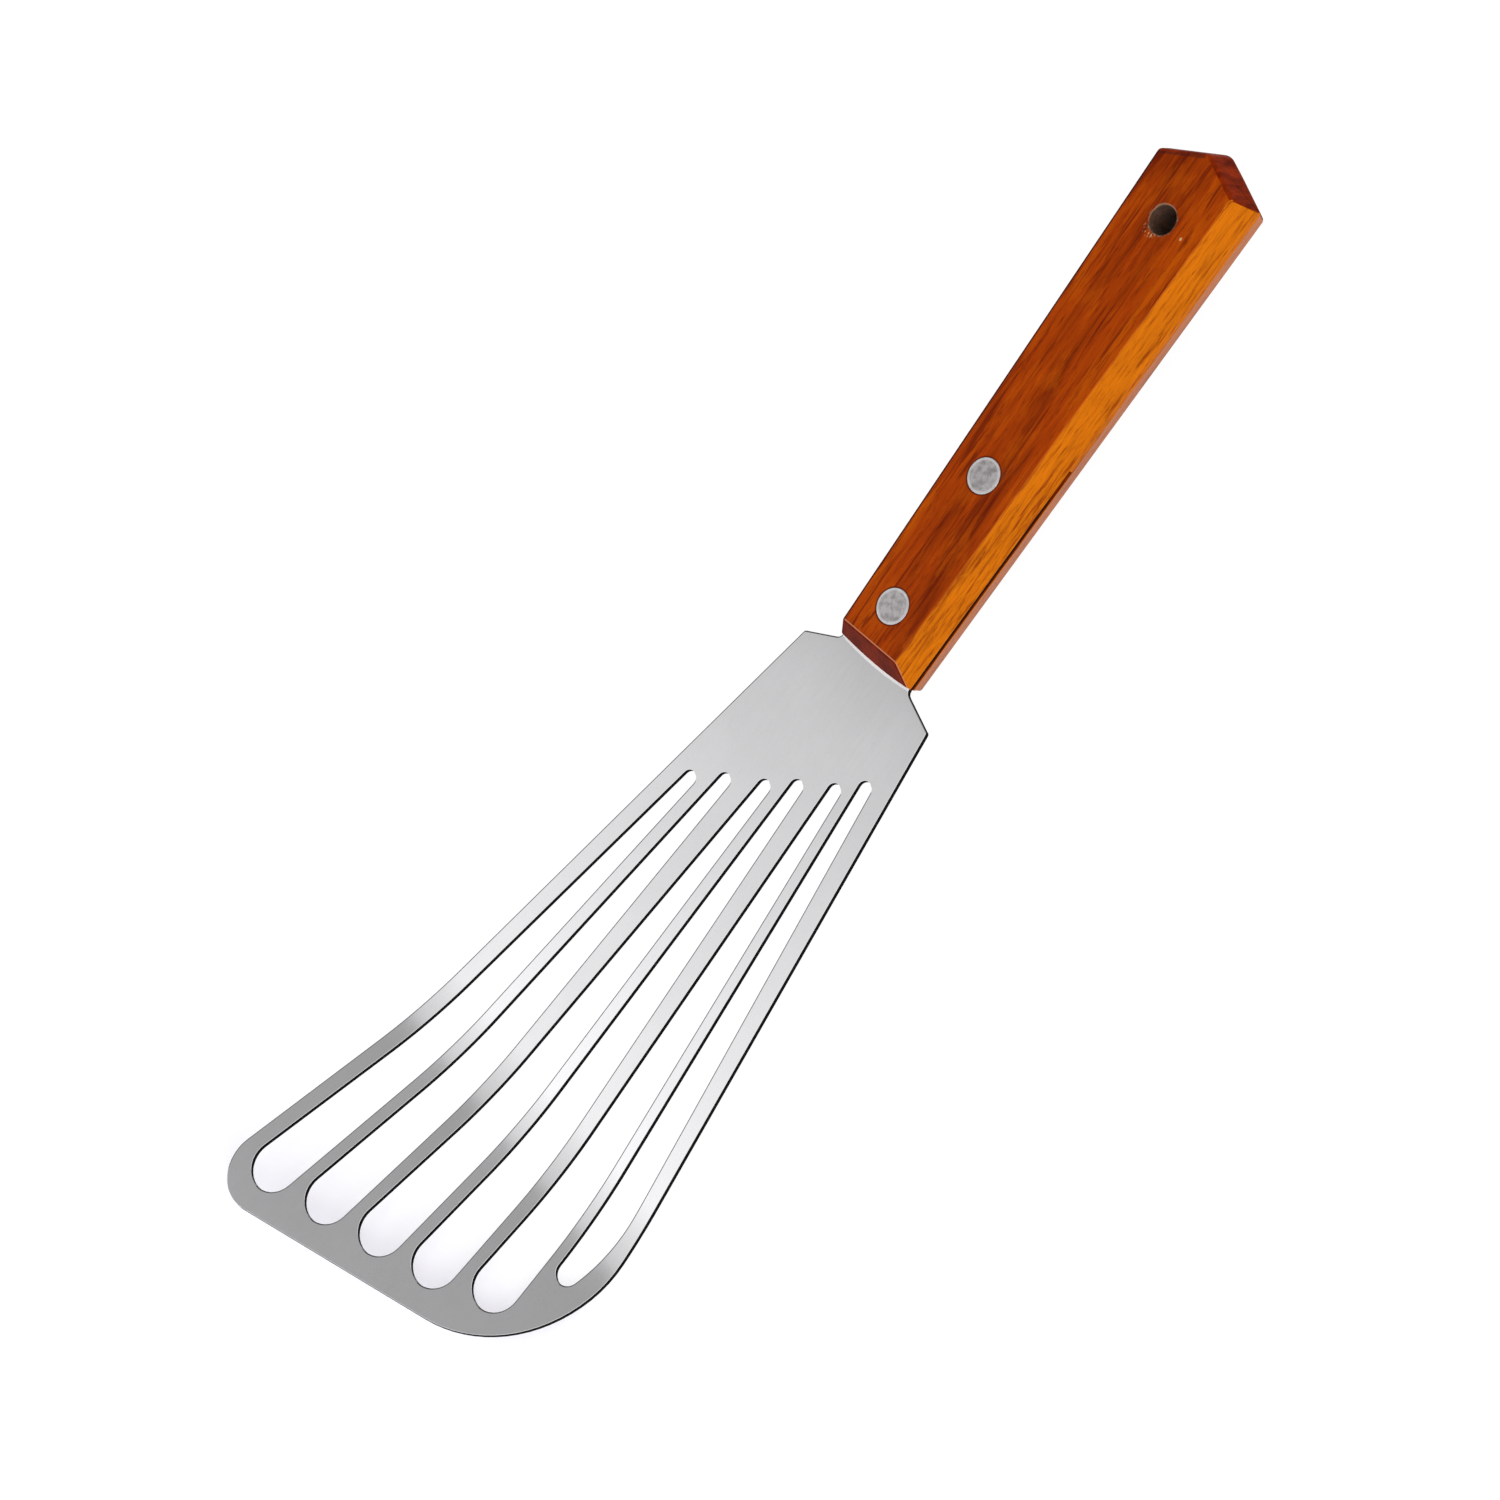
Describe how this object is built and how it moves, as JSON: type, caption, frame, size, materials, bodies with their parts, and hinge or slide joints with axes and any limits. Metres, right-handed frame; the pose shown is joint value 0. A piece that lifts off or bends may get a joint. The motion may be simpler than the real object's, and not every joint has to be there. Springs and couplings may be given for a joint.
{
  "type": "fish spatula",
  "caption": "Fish spatula: thin slotted steel blade with a turned-up, asymmetric front, held by its tang in the saw cut of a faceted wooden handle with flush rivets and a hanging hole.",
  "frame": {"origin": "centre of the hanging hole, on the mid-plane of the steel sheet and of the handle", "axes": "+X from the hanging hole to the tip of the blade, +Z out of the face towards which the blade's front turns up, +Y to the side of the blade's short edge"},
  "size_m": [0.312, 0.092, 0.0224],
  "materials": {
    "blade": "satin stainless sheet with bright, finely polished faces and darker cut edges",
    "handle": "reddish brown hardwood with dark streaks under a glossy lacquer",
    "rivet": "ground flush with the wood, light grey with faint scratches"
  },
  "bodies": {
    "root": {"blade": "blade", "handle": "handle", "front_rivet_post": "rivet", "front_rivet_sleeve": "rivet", "rear_rivet_post": "rivet", "rear_rivet_sleeve": "rivet"}
  },
  "joints": []
}
